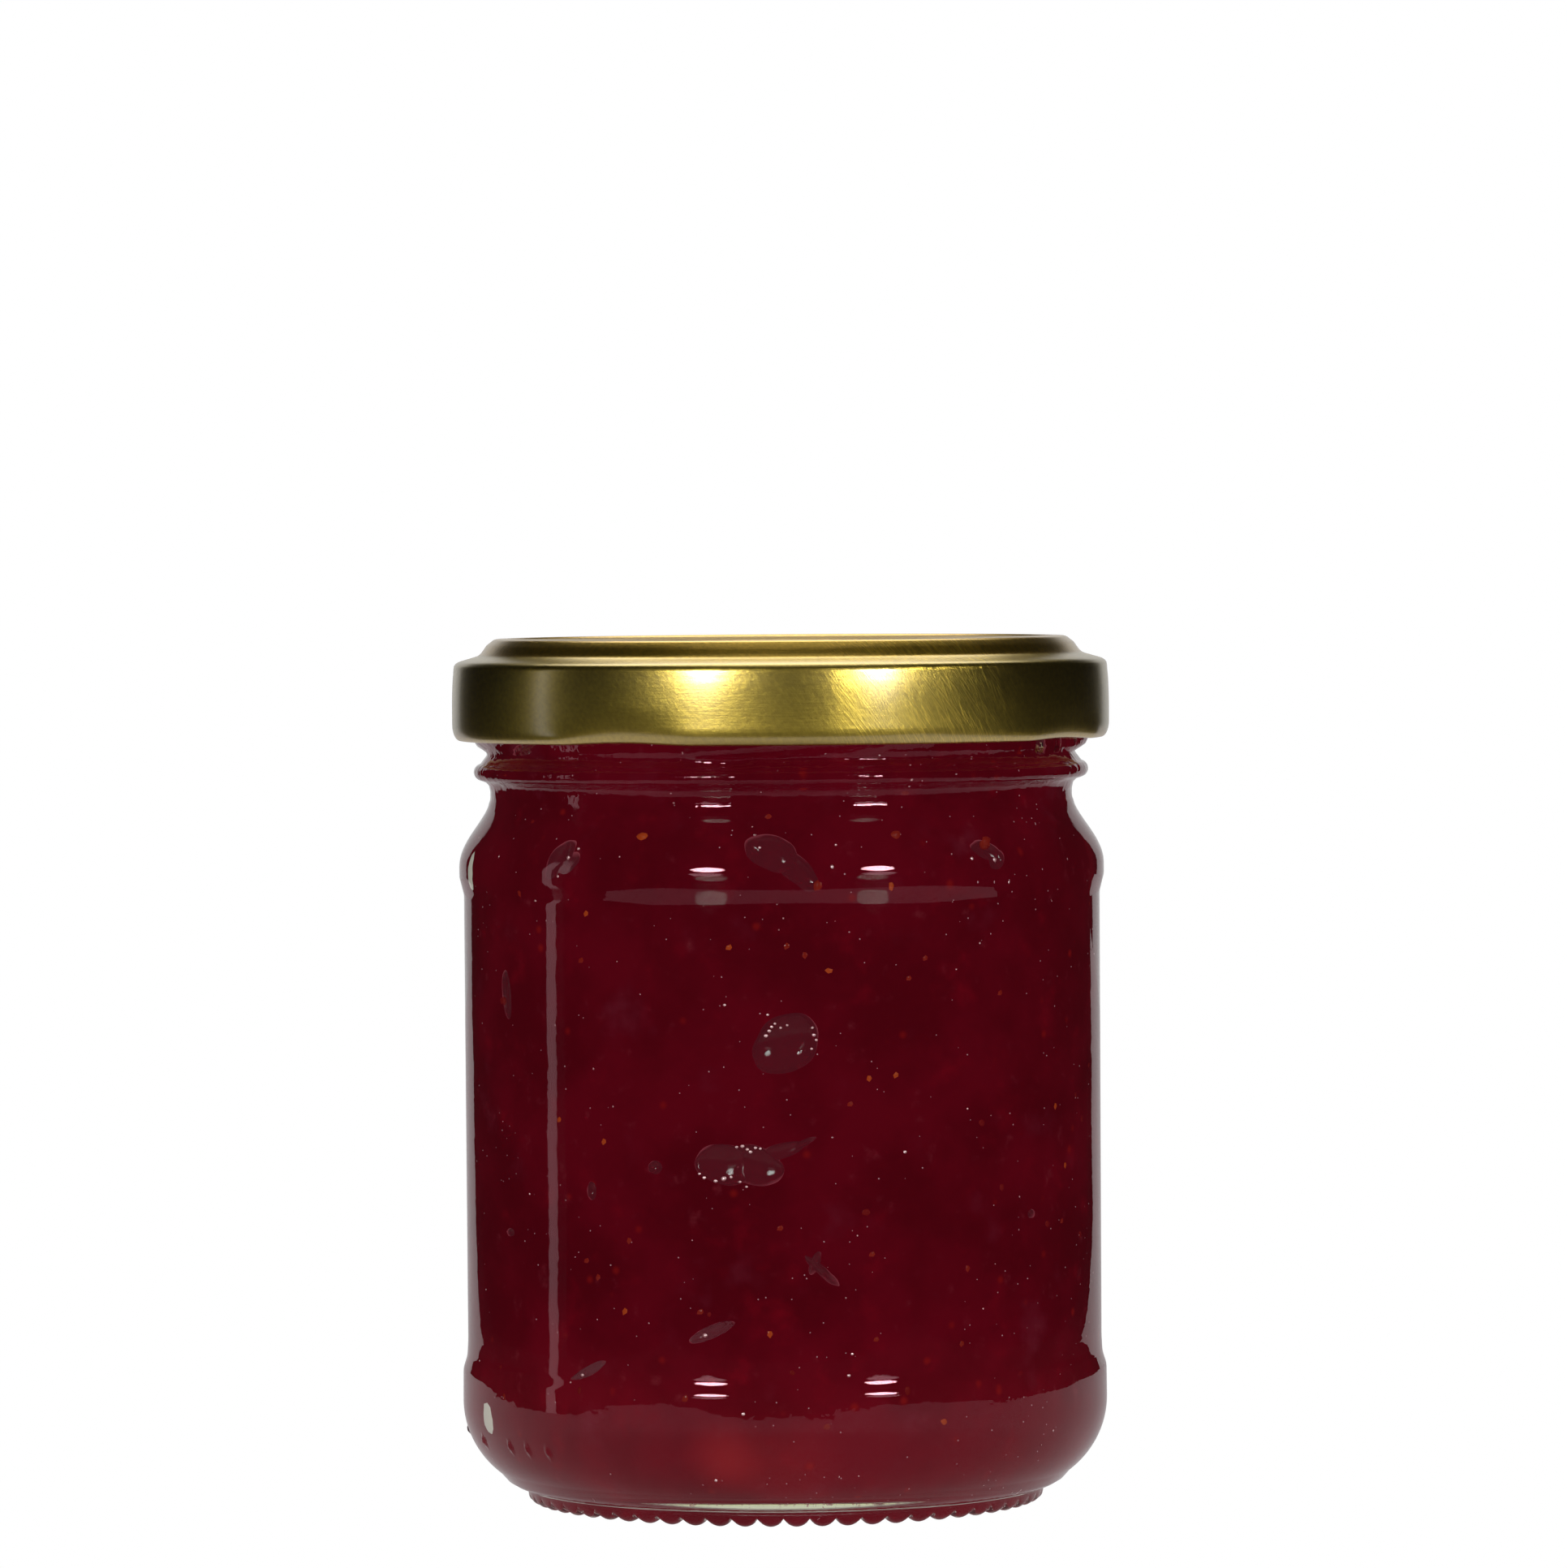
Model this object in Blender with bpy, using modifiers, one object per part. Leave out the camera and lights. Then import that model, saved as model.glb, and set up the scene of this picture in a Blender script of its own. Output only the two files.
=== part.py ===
"""A small round twist-off jar, full of jam, with its lid closed.

Metres, +Z up. The origin is the middle of the base, on the surface the jar stands on,
and -Y is the front. Driving dimensions are named in millimetres and turned into metres
where a mesh is made. The jar is three solids: glass_jar, twist_lid and jam.
"""
import math

import bmesh
import bpy
from mathutils import Matrix, Vector

MM = 0.001
SEGMENTS = 56           # sides of every turned shape
FIT_GAP = 0.3           # clearance between neighbouring solids

# Outside of the glass
BODY_RADIUS = 33.87     # the two bands that guard the label panel
PANEL_RADIUS = 33.4
HEEL_TOP = 10.8         # heights up the outside, from the table
LOWER_BAND_TOP = 13.2
PANEL_BOTTOM = 15.0
PANEL_TOP = 63.7
UPPER_BAND_BOTTOM = 65.7
SHOULDER_BOTTOM = 66.8
SHOULDER_TOP = 74.1
HEEL_RADII = (9.5, 9.8)     # the ellipse of the heel, across and up
HEEL_END_ANGLE = -53.0
FOOT_SLOPE = ((29.2, 2.15), (27.7, 1.3), (27.0, 0.95))
RING_OUTER, RING_INNER, RING_HEIGHT = 26.9, 24.4, 0.5
PUSH_UP = 2.4           # rise of the hollow under the base

# Neck and finish, which is what makers call the part of the glass under the lid
NECK_RADIUS = 30.55
BEAD_CENTRE, BEAD_RADIUS = (31.4, 76.75), 0.87
GROOVE = (30.9, 78.5)
FINISH_RADIUS = 31.2
FINISH_BOTTOM, FINISH_TOP = 79.3, 87.6
RIM_CENTRE, RIM_RADIUS = (29.55, 88.85), 1.1

# Inside of the glass
BORE_RADIUS = RIM_CENTRE[0] - RIM_RADIUS
INNER_RADIUS = 31.0
INNER_FLOOR = 6.0
INNER_HEEL_RADII = (8.5, 6.4)
INNER_SHOULDER = (66.0, 73.2)
FILL_HEIGHT = 84.0      # top of the jam

# Small forms on the glass
KNURL_COUNT, KNURL_RADIUS, KNURL_OFFSET = 62, 26.05, 2.4
KNURL_TIP, KNURL_ROOT, KNURL_TOP = 0.7, 1.2, 0.9
DOT_ANGLES = (-90.0, -70.4, -58.7, -53.0, -47.2)
DOT_HEIGHT, DOT_SIZE = 7.4, 0.55
THREAD_STARTS = 4
THREAD_FROM, THREAD_SPAN = -14.0, 76.0      # degrees round the neck
THREAD_LOW, THREAD_RISE = 80.3, 3.4
THREAD_DEPTH = 1.15

# Lid
LID_RADIUS = 34.5
LID_THICKNESS = 0.4
LID_PANEL_HEIGHT = 89.95
LID_BUTTON_RADIUS, LID_BUTTON_DROP = 8.0, 0.25
LID_PANEL_RADIUS = 27.3
LID_CREST = ((28.35, 90.45), (29.55, 90.7), (30.35, 90.5))   # over the sealing rim
LID_SHOULDER = ((31.5, 89.35), (33.75, 88.35))
LID_CORNER = (34.38, 88.0)
LID_SKIRT_TOP = 87.5
LID_CURL_END = 82.0
CURL_CENTRE, CURL_RADIUS = (33.8, 80.7), 0.7
LUG_ANGLE, LUG_SIZE, LUG_RADIUS = 61.0, (10.5, 1.5, 0.9), 33.0


def arc(centre, radii, start, end, steps):
    """Points of an elliptic arc about centre, from start to end degrees, ends included."""
    angles = (math.radians(start + (end - start) * i / steps) for i in range(steps + 1))
    return [(centre[0] + radii[0] * math.cos(a), centre[1] + radii[1] * math.sin(a)) for a in angles]


def ease(first, last, steps):
    """Points of an S-curve that leaves first and reaches last straight up or down."""
    points = []
    for i in range(steps + 1):
        share = i / steps
        blend = 0.5 - 0.5 * math.cos(math.pi * share)
        radius = first[0] + (last[0] - first[0]) * blend
        points.append((radius, first[1] + (last[1] - first[1]) * share))
    return points


def dome(radius, edge, centre, steps):
    """Points of a shallow parabolic dome, from height edge at radius to centre on the axis."""
    rings = (radius * (1 - i / steps) for i in range(steps + 1))
    return [(r, centre + (edge - centre) * (r / radius) ** 2) for r in rings]


def inside_outline(gap):
    """The inner wall from floor to bore, moved inwards by gap."""
    heel = arc((INNER_RADIUS - INNER_HEEL_RADII[0], INNER_FLOOR + INNER_HEEL_RADII[1]),
               (INNER_HEEL_RADII[0] - gap, INNER_HEEL_RADII[1] - gap), -90, 0, 5)
    shoulder = ease((INNER_RADIUS - gap, INNER_SHOULDER[0]), (BORE_RADIUS - gap, INNER_SHOULDER[1]), 5)
    return [(0, INNER_FLOOR + gap)] + heel + shoulder


def outside_outline():
    """The outer wall from the top of the finish down to the middle of the base."""
    bead = arc(BEAD_CENTRE, (BEAD_RADIUS, BEAD_RADIUS), 75, -75, 5)
    shoulder = ease((NECK_RADIUS, SHOULDER_TOP), (BODY_RADIUS, SHOULDER_BOTTOM), 6)
    bands = [(BODY_RADIUS, UPPER_BAND_BOTTOM), (PANEL_RADIUS, PANEL_TOP),
             (PANEL_RADIUS, PANEL_BOTTOM), (BODY_RADIUS, LOWER_BAND_TOP)]
    heel = arc((BODY_RADIUS - HEEL_RADII[0], HEEL_TOP), HEEL_RADII, 0, HEEL_END_ANGLE, 6)
    ring = [(RING_OUTER, RING_HEIGHT)] + dome(RING_INNER, RING_HEIGHT, PUSH_UP, 3)
    finish = [(FINISH_RADIUS, FINISH_TOP), (FINISH_RADIUS, FINISH_BOTTOM), GROOVE]
    return finish + bead + shoulder + bands + heel + list(FOOT_SLOPE) + ring


def glass_outline():
    """The whole section of the glass: up the inside, over the rim and down the outside."""
    rim = arc(RIM_CENTRE, (RIM_RADIUS, RIM_RADIUS), 180, 20, 6)
    return inside_outline(0) + rim + outside_outline()


def jam_outline():
    """The jam: its flat top, then down its side to the floor."""
    side = inside_outline(FIT_GAP)
    return [(0, FILL_HEIGHT), (BORE_RADIUS - FIT_GAP, FILL_HEIGHT)] + side[::-1]


def lid_outline():
    """The section of the lid: over its top, down the skirt, round the curl and back inside."""
    button_height = LID_PANEL_HEIGHT - LID_BUTTON_DROP
    button = [(0, button_height), (LID_BUTTON_RADIUS, button_height)]
    panel = [(LID_BUTTON_RADIUS + 1.5, LID_PANEL_HEIGHT), (LID_PANEL_RADIUS, LID_PANEL_HEIGHT)]
    top = button + panel + list(LID_CREST + LID_SHOULDER)
    skirt = [LID_CORNER, (LID_RADIUS, LID_SKIRT_TOP)]
    curl = arc(CURL_CENTRE, (CURL_RADIUS, CURL_RADIUS), 0, -210, 6)
    skirt_inside = [(LID_RADIUS - LID_THICKNESS, z) for z in (LID_CURL_END, LID_SKIRT_TOP)]
    roof = [(max(0, r - LID_THICKNESS / 4), z - LID_THICKNESS) for r, z in top]
    return top + skirt + curl + skirt_inside + roof[::-1]


def point(radius, height, degrees):
    """A place in metres at an angle round the jar, 0 at the front and 90 at the right."""
    angle = math.radians(degrees)
    return Vector((radius * math.sin(angle), -radius * math.cos(angle), height)) * MM


def outer_radius(height):
    """Radius of the heel at a height, in millimetres."""
    rise = (HEEL_TOP - height) / HEEL_RADII[1]
    return BODY_RADIUS - HEEL_RADII[0] * (1 - math.sqrt(1 - rise * rise))


def material(name, colour, roughness, metallic=0.0, transmission=0.0):
    made = bpy.data.materials.new(name)
    made.use_nodes = True
    made.diffuse_color = (*colour, 1)
    shader = made.node_tree.nodes["Principled BSDF"]
    shader.inputs["Base Color"].default_value = (*colour, 1)
    shader.inputs["Roughness"].default_value = roughness
    shader.inputs["Metallic"].default_value = metallic
    shader.inputs["Transmission Weight"].default_value = transmission
    return made


def add_object(name, mesh, collection, finish=None):
    made = bpy.data.objects.new(name, mesh)
    collection.objects.link(made)
    if finish:
        mesh.materials.append(finish)
    return made


def turned(name, outline, collection, finish):
    """A solid of revolution about Z from an outline of (radius, height) in millimetres."""
    mesh = bpy.data.meshes.new(name)
    count = len(outline)
    mesh.from_pydata([(r * MM, 0, z * MM) for r, z in outline], [(i, i + 1) for i in range(count - 1)], [])
    made = add_object(name, mesh, collection, finish)
    screw = made.modifiers.new("turn", "SCREW")
    screw.steps = screw.render_steps = SEGMENTS
    screw.use_merge_vertices = True
    screw.merge_threshold = 0.00001
    screw.use_smooth_shade = True
    return made


def add_cutter(name, mesh, collection):
    """A guide that a Boolean reads and that is no part of the object itself."""
    made = add_object(name, mesh, collection)
    made.display_type = "WIRE"
    made.hide_render = True
    return made


def join_to(target, guide):
    """Fuse a guide's bodies to the target."""
    union = target.modifiers.new(guide.name, "BOOLEAN")
    union.operation = "UNION"
    union.object = guide


def knurl(collection):
    """The ring of blunt beads that the jar stands on."""
    build = bmesh.new()
    for i in range(KNURL_COUNT):
        place = point(KNURL_RADIUS, KNURL_TOP / 2, KNURL_OFFSET + 360 * i / KNURL_COUNT)
        bmesh.ops.create_cone(build, cap_ends=True, segments=8, radius1=KNURL_TIP * MM,
                              radius2=KNURL_ROOT * MM, depth=KNURL_TOP * MM, matrix=Matrix.Translation(place))
    mesh = bpy.data.meshes.new("knurl")
    build.to_mesh(mesh)
    build.free()
    return add_cutter("knurl", mesh, collection)


def mould_dots(collection):
    """The small raised dots on the heel."""
    build = bmesh.new()
    for degrees in DOT_ANGLES:
        place = point(outer_radius(DOT_HEIGHT), DOT_HEIGHT, degrees)
        bmesh.ops.create_icosphere(build, subdivisions=1, radius=DOT_SIZE * MM, matrix=Matrix.Translation(place))
    mesh = bpy.data.meshes.new("mould_dots")
    build.to_mesh(mesh)
    build.free()
    return add_cutter("mould_dots", mesh, collection)


def thread_ridge(name, first_degrees, collection):
    """One sloping ridge of the glass thread, a round bar half sunk in the finish."""
    steps = 10
    path = bpy.data.curves.new(name, "CURVE")
    path.dimensions = "3D"
    path.bevel_depth = THREAD_DEPTH * MM
    path.bevel_resolution = 1
    path.use_fill_caps = True
    line = path.splines.new("POLY")
    line.points.add(steps)
    for i, knot in enumerate(line.points):
        share = i / steps
        place = point(FINISH_RADIUS, THREAD_LOW + THREAD_RISE * share, first_degrees + THREAD_SPAN * share)
        knot.co = (*place, 1)
        knot.radius = 0.45 + 0.55 * min(1, 4 * share, 4 * (1 - share))
    guide = bpy.data.objects.new(name, path)
    collection.objects.link(guide)
    solid = bpy.data.meshes.new_from_object(guide.evaluated_get(bpy.context.evaluated_depsgraph_get()))
    bpy.data.objects.remove(guide)
    build = bmesh.new()
    build.from_mesh(solid)
    bmesh.ops.remove_doubles(build, verts=build.verts, dist=0.00001)
    bmesh.ops.recalc_face_normals(build, faces=build.faces)
    build.to_mesh(solid)
    build.free()
    return add_cutter(name, solid, collection)


def lid_lugs(collection):
    """The four tabs inside the curl that grip under the thread."""
    build = bmesh.new()
    for i in range(THREAD_STARTS):
        degrees = LUG_ANGLE + 360 * i / THREAD_STARTS
        turn = Matrix.Rotation(math.radians(degrees), 4, "Z")
        size = Matrix.Diagonal((*(Vector(LUG_SIZE) * MM), 1))
        place = Matrix.Translation(point(LUG_RADIUS, CURL_CENTRE[1], degrees))
        bmesh.ops.create_cube(build, size=1, matrix=place @ turn @ size)
    mesh = bpy.data.meshes.new("lid_lugs")
    build.to_mesh(mesh)
    build.free()
    return add_cutter("lid_lugs", mesh, collection)


def make_glass(parts, guides):
    finish = material("clear_glass", (0.9, 0.93, 0.9), 0.03, transmission=1.0)
    glass = turned("glass_jar", glass_outline(), parts, finish)
    join_to(glass, knurl(guides))
    join_to(glass, mould_dots(guides))
    for i in range(THREAD_STARTS):
        start = THREAD_FROM + 360 * i / THREAD_STARTS
        join_to(glass, thread_ridge(f"thread_ridge_{i + 1}", start, guides))


def make_lid(parts, guides):
    finish = material("gold_tinplate", (0.5, 0.42, 0.13), 0.3, metallic=1.0)
    lid = turned("twist_lid", lid_outline(), parts, finish)
    join_to(lid, lid_lugs(guides))


def make_jam(parts):
    finish = material("dark_red_jam", (0.06, 0.002, 0.004), 0.4)
    turned("jam", jam_outline(), parts, finish)


def main():
    for old in list(bpy.data.objects):
        bpy.data.objects.remove(old, do_unlink=True)
    parts = bpy.data.collections.new("twist_off_jar")
    guides = bpy.data.collections.new("guides")
    for collection in (parts, guides):
        bpy.context.scene.collection.children.link(collection)
    make_glass(parts, guides)
    make_lid(parts, guides)
    make_jam(parts)


main()
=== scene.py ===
# %% [markdown]
# # A jar of dark red jam
#
# The object is a small round glass jar, full to the neck with a dark seeded jam and shut with a
# gold twist-off lid. Everything about it is round, so most of the work is in three outlines that
# are turned about the jar's axis. What makes it look real is thinner than a millimetre: a mould
# seam, a knurled foot, pockets of air behind the glass, and scratches in the lid's lacquer.
#
# The first cell loads the fixed frame. Every size below is in millimetres and is turned into
# metres only where a mesh is made.

# %% Load the frame
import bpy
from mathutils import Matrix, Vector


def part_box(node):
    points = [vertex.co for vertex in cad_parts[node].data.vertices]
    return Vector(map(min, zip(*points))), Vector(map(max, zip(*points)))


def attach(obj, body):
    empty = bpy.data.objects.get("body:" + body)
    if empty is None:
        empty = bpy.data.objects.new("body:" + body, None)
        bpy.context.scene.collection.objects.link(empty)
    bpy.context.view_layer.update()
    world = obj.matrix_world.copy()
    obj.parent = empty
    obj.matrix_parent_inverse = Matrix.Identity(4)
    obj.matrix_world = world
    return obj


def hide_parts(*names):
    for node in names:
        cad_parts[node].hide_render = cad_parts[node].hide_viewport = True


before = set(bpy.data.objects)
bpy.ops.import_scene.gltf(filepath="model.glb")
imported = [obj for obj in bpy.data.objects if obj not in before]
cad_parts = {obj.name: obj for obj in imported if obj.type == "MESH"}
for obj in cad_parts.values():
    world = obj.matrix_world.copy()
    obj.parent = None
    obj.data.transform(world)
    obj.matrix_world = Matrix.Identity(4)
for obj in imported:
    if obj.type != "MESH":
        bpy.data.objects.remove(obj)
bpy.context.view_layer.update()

from functools import partial
from math import cos, hypot, pi, radians, sin, sqrt

import bmesh
import bpy
import numpy as np
from mathutils import Matrix, Vector, noise

MM = 0.001
glass_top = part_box("glass_jar")[1]
lid_low, lid_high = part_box("twist_lid")
jam_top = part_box("jam")[1]
print("glass", round(glass_top.z / MM, 2), "mm tall, lid", round(2 * lid_high.x / MM, 2), "mm across")

# %% [markdown]
# ## Outlines
#
# A pressed or blown form is drawn as its makers draw it: a list of stretches, each an arc, an
# S-curve or a straight line. The `steps` of each stretch say how finely it is cut, so the long
# walls stay cheap and the tight little fillets, which catch the light, get the points.


# %% Arcs and S-curves
def arc(centre, radii, start, end, steps):
    """Points of an elliptic arc about centre, from start to end degrees, ends included."""
    angles = (radians(start + (end - start) * i / steps) for i in range(steps + 1))
    return [(centre[0] + radii[0] * cos(a), centre[1] + radii[1] * sin(a)) for a in angles]


def ease(first, last, steps, lead=1.0):
    """Points of an S-curve from first to last, straight at both ends; a lead over 1 starts it gently."""
    points = []
    for i in range(steps + 1):
        share = i / steps
        blend = 0.5 - 0.5 * cos(pi * share ** lead)
        points.append((first[0] + (last[0] - first[0]) * blend, first[1] + (last[1] - first[1]) * share))
    return points


def line(first, last, steps):
    """Points of a straight stretch, ends included."""
    return [tuple(a + (b - a) * i / steps for a, b in zip(first, last)) for i in range(steps + 1)]


print("quarter circle:", [tuple(round(v, 2) for v in p) for p in arc((0, 0), (1, 1), 0, 90, 3)])

# %% [markdown]
# ## Turning an outline into a mesh
#
# Blender's Screw modifier turns a plain shape. Here the glass also carries low relief that runs
# round it, such as a thread and a knurl, so the rings are built in code, where each can be moved a
# little by its angle and height. A UV map in millimetres, along the girth and down the outline,
# tells the lid's metal which way it was turned.


# %% The lathe
def even_turns(count):
    """Angles in degrees for a plain turned mesh."""
    return [360 * i / count for i in range(count)]


def lathe(name, outline, turns, relief=None):
    """A closed turned mesh. The outline runs from the axis to the axis, down its outer side."""
    rows, columns = len(outline), len(turns)
    radius, height = np.array(outline).T[:, :, None] * np.ones((2, 1, columns))
    degrees = np.array(turns)[None, :] * np.ones((rows, 1))
    if relief:
        radius, height = relief(degrees, radius, height)
    angle = np.radians(degrees)
    rings = np.stack([radius * np.sin(angle), -radius * np.cos(angle), height], axis=-1)[1:-1] * MM
    poles = [(0, 0, outline[0][1] * MM), (0, 0, outline[-1][1] * MM)]
    verts = np.concatenate([rings.reshape(-1, 3), poles])
    top, bottom = len(verts) - 2, len(verts) - 1
    column = np.arange(columns)
    after = (column + 1) % columns
    faces = []
    for ring in range(rows - 3):
        here, below = ring * columns, (ring + 1) * columns
        faces += np.stack([here + column, below + column, below + after, here + after], axis=1).tolist()
    last = (rows - 3) * columns
    faces += [(top, j, k) for j, k in zip(column.tolist(), after.tolist())]
    faces += [(last + j, bottom, last + k) for j, k in zip(column.tolist(), after.tolist())]
    mesh = bpy.data.meshes.new(name)
    mesh.from_pydata(verts.tolist(), [], faces)
    wrap_uv(mesh, outline, turns)
    mesh.shade_smooth()
    return mesh


def wrap_uv(mesh, outline, turns):
    """UV in millimetres: along the widest girth, and down the outline."""
    columns = len(turns)
    around = np.radians(np.append(turns, 360.0)) * max(r for r, _ in outline)
    run = np.append(0, np.cumsum(np.linalg.norm(np.diff(outline, axis=0), axis=1)))
    ring, column = np.divmod(np.arange((len(outline) - 3) * columns), columns)
    first = np.arange(columns)
    across = [around[np.stack([column, column, column + 1, column + 1], axis=1)].ravel()]
    across += [around[np.stack([first, first, first + 1], axis=1)].ravel()] * 2
    down = [run[np.stack([ring + 1, ring + 2, ring + 2, ring + 1], axis=1)].ravel()]
    down += [np.tile(v, columns) for v in ((run[0], run[1], run[1]), (run[-2], run[-1], run[-2]))]
    layer = mesh.uv_layers.new(name="wrap")
    layer.data.foreach_set("uv", np.stack([np.concatenate(across), np.concatenate(down)], axis=1).ravel())


def linked(name, data):
    """A new object in the scene."""
    made = bpy.data.objects.new(name, data)
    bpy.context.scene.collection.objects.link(made)
    return made


def add_piece(name, mesh, *finishes):
    """A mesh as an object with its materials."""
    for finish in finishes:
        mesh.materials.append(finish)
    print(name, len(mesh.polygons), "faces")
    return linked(name, mesh)


# %% [markdown]
# ## Sizes of the glass
#
# A stock jar has a label panel between two slightly fuller bands, a soft shoulder, a narrow neck
# with a bead that the filling line grips, and above it the finish that takes the lid. The heel
# is part of an ellipse and ends in a foot that slopes in to a ring. The inside follows the
# outside at a wall of a little over two millimetres. The floor is thick and clear, pushed up from
# below and domed inside.

# %% Glass sizes
BODY_RADIUS = glass_top.x / MM
PANEL_RADIUS = 33.4
HEEL_TOP = 10.8
LOWER_STEP = (
    (33.33, 17.5), (33.34, 17.0), (33.368, 16.4), (33.395, 15.9), (33.425, 15.55), (33.468, 15.3), (33.555, 15.0),
    (33.667, 14.65), (33.752, 14.38), (33.802, 14.18), (33.83, 14.0), (33.845, 13.7), (33.855, 12.8), (33.865, 11.8))
UPPER_STEP = ((33.87, 66.0), (33.862, 65.8), (33.84, 65.62), (33.43, 63.98), (33.41, 63.8), (33.4, 63.6))
SHOULDER = (66.8, 74.1)
HEEL_RADII, HEEL_END = (9.5, 9.4), -53.0
FOOT = ((29.3, 2.42), (28.5, 1.95), (27.8, 1.74), (27.3, 1.66))
RING_OUTER, RING_INNER, RING_HEIGHT = 27.15, 24.7, 1.0
HOLLOW = ((24.5, 1.2), (24.3, 1.6), (23.9, 1.9), (22.0, 2.3), (18.0, 2.9), (12.0, 3.5), (6.0, 3.85), (0.0, 3.95))
NECK_RADIUS = 30.55
PARTING_HEIGHT = 73.4
BEAD_CENTRE, BEAD_RADIUS = (31.4, 76.75), 0.87
GROOVE = (30.9, 78.5)
FINISH_RADIUS = 31.2
FINISH = (79.0, 87.6)
RIM_CENTRE, RIM_RADIUS = (29.55, 88.85), glass_top.z / MM - 88.85
BORE_RADIUS = RIM_CENTRE[0] - RIM_RADIUS
INNER_RADIUS, INNER_FLOOR, FLOOR_RISE = 31.0, 4.4, 3.8
FLOOR_RINGS = (0, 4, 8, 12, 15, 18, 20.5, 22.3)
INNER_HEEL_RADII = (7.0, 8.0)
INNER_SHOULDER = (66.0, 73.2)
print("wall", round(PANEL_RADIUS - INNER_RADIUS, 2), "mm, mouth", round(2 * BORE_RADIUS, 1), "mm across")


# %% Inside and outside of the glass
def inside_outline(grow, fineness):
    """The inner wall from the floor's middle up to the bore, moved into the glass by grow."""
    heel_centre = (INNER_RADIUS - INNER_HEEL_RADII[0], INNER_FLOOR + INNER_HEEL_RADII[1])
    heel = arc(heel_centre, (INNER_HEEL_RADII[0] + grow, INNER_HEEL_RADII[1] + grow), -90, 0, 2 * fineness)
    side, bend = INNER_RADIUS + grow, INNER_SHOULDER[0]
    wall = line((side, heel_centre[1]), (side, bend), fineness)
    shoulder = ease((side, bend), (BORE_RADIUS + grow, INNER_SHOULDER[1]), 2 * fineness)
    floor = [(r, INNER_FLOOR - grow + FLOOR_RISE * (1 - (r / heel_centre[0]) ** 2)) for r in FLOOR_RINGS]
    return floor + heel + wall[1:-1] + shoulder


def outside_outline():
    """The outer wall from the finish down to the middle of the base."""
    finish = line((FINISH_RADIUS, FINISH[1]), (FINISH_RADIUS, FINISH[0] + 0.4), 15)
    groove = [(FINISH_RADIUS - 0.1, FINISH[0] + 0.1), (GROOVE[0] + 0.02, GROOVE[1] + 0.25), GROOVE]
    bead = arc(BEAD_CENTRE, (BEAD_RADIUS, BEAD_RADIUS), 78, -70, 12)
    neck = [(NECK_RADIUS + 0.5, 75.72), (NECK_RADIUS + 0.14, 75.35), (NECK_RADIUS, 74.7)]
    shoulder = ease((NECK_RADIUS, SHOULDER[1]), (BODY_RADIUS, SHOULDER[0]), 22, 0.88)
    upper = list(UPPER_STEP[:2]) + line(UPPER_STEP[2], UPPER_STEP[3], 5) + list(UPPER_STEP[4:])
    heel = arc((BODY_RADIUS - HEEL_RADII[0], HEEL_TOP), HEEL_RADII, 0, HEEL_END, 22)
    ring = [(RING_OUTER, RING_HEIGHT + 0.5), (RING_OUTER, RING_HEIGHT + 0.2), (RING_OUTER - 0.08, RING_HEIGHT + 0.05)]
    ring += line((RING_OUTER - 0.2, RING_HEIGHT), (RING_INNER, RING_HEIGHT), 9)
    return finish + groove + bead + neck + shoulder + upper + list(LOWER_STEP) + heel + list(FOOT) + ring + list(HOLLOW)


rim = arc(RIM_CENTRE, (RIM_RADIUS, RIM_RADIUS), 180, 15, 8)
inner_part = inside_outline(0, 4)
glass_outline = inner_part + rim + outside_outline()
print("the glass has", len(glass_outline), "rings")

# %% [markdown]
# ## Relief on the glass
#
# The mould leaves low forms all round: blunt beads under the foot, the four starts of a thread
# below the rim, a row of round dots low on the heel, the fine line where the neck's mould sat on
# the body's, and a hair-thin seam where the two mould halves met. Separate solids would leave hard
# joins, while real glass flows. So each is a smooth bump added to the rings before they become a
# mesh. The rings have a point every half degree or so, and a few more at the dots, which need
# them.

# %% Knurl, thread, dots and seams
KNURL_COUNT, KNURL_OFFSET, KNURL_RADIUS, KNURL_REACH = 62, 2.4, 26.05, 1.15
THREAD_STARTS, THREAD_FROM, THREAD_SPAN = 4, -18.0, 84.0
THREAD_LOW, THREAD_RISE, THREAD_HALF, THREAD_PROUD = 79.6, 3.8, 1.4, 1.15
DOT_ANGLES, DOT_HEIGHT, DOT_RADIUS, DOT_PROUD = (-90.0, -70.4, -58.7, -53.0, -47.2), 7.4, 0.5, 0.3
SEAM_ANGLE, SEAM_PROUD, SEAM_WIDTH = 8.5, 0.05, 0.5
PARTING_PROUD, PARTING_WIDTH = 0.05, 0.22
first_outer_ring = len(inner_part) + len(rim)
extra_turns = [(angle + step) % 360 for angle in DOT_ANGLES for step in (-0.9, -0.7, -0.3, 0.0, 0.3, 0.7, 0.9)]
glass_turns = sorted(even_turns(10 * KNURL_COUNT) + extra_turns)


def turn_apart(degrees, other):
    """The signed turn from other to degrees, between -180 and 180."""
    return (degrees - other + 180) % 360 - 180


def thread_proud(degrees, height):
    """How far the thread's starts stand out at an angle and height."""
    proud = np.zeros_like(height)
    for start in range(THREAD_STARTS):
        middle_turn = THREAD_FROM + 360 * start / THREAD_STARTS + THREAD_SPAN / 2
        share = turn_apart(degrees, middle_turn) / THREAD_SPAN + 0.5
        ends = np.clip(np.minimum(share, 1 - share) * 6, 0, 1)
        swell = np.clip(1 - ((height - THREAD_LOW - THREAD_RISE * share) / THREAD_HALF) ** 2, 0, 1)
        proud = np.maximum(proud, THREAD_PROUD * swell ** 0.7 * ends ** 0.6)
    return proud


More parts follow.
